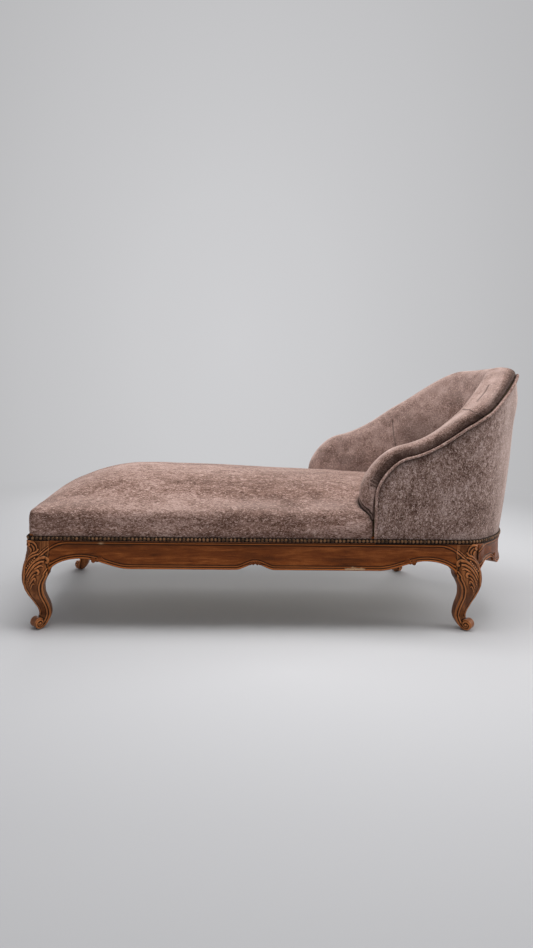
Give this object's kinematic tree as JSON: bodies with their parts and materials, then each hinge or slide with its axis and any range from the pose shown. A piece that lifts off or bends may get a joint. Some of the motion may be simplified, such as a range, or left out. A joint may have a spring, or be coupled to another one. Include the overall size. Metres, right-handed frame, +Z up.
{
  "type": "fainting couch",
  "caption": "Long upholstered fainting couch with a sprung seat, a padded tub back at one end and carved walnut cabriole legs and apron",
  "frame": {"origin": "middle of the couch's outline, on the floor under the feet", "axes": "+X from the foot end to the head end with the tub back, +Y to the far side, +Z up"},
  "size_m": [1.7015, 0.7439, 0.866],
  "materials": {
    "walnut": "carved walnut, waxed to a satin sheen",
    "beech": "plain beech, unfinished",
    "velvet": "mottled mauve taupe chenille velvet",
    "calico": "undyed cotton over hair stuffing",
    "jute": "jute webbing, hessian and twine",
    "braid": "dark woven braid",
    "steel": "drawn spring wire and screws",
    "nail_brass": "domed nails, antiqued dark"
  },
  "bodies": {
    "root": {"leg_foot_near": "walnut", "leg_foot_far": "walnut", "leg_head_near": "walnut", "leg_head_far": "walnut", "rail_near": "walnut", "rail_far": "walnut", "rail_foot": "walnut", "rail_head": "walnut", "dowels": "beech", "corner_block_foot_near": "beech", "corner_block_foot_far": "beech", "glue_block_head_near": "beech", "glue_block_head_far": "beech", "block_screws": "steel", "batten_near": "beech", "batten_far": "beech", "batten_foot": "beech", "batten_head": "beech", "cross_brace_foot": "beech", "cross_brace_head": "beech", "seat_webbing": "jute", "seat_springs": "steel", "spring_ties": "jute", "seat_hessian": "jute", "seat_stuffing": "calico", "seat_cover": "velvet", "dust_cover": "calico", "arm_front_near": "beech", "arm_front_far": "beech", "top_rail_near": "beech", "top_rail_far": "beech", "top_rail_head": "beech", "upright_near_front": "beech", "upright_near_back": "beech", "upright_head": "beech", "upright_far_back": "beech", "upright_far_front": "beech", "back_webbing": "jute", "back_hessian": "jute", "inside_back_pad": "velvet", "back_roll": "velvet", "outside_back_cover": "velvet", "back_piping": "velvet", "braid": "braid", "nails_near": "nail_brass", "nails_far": "nail_brass", "nails_foot": "nail_brass", "nails_head": "nail_brass"}
  },
  "joints": []
}
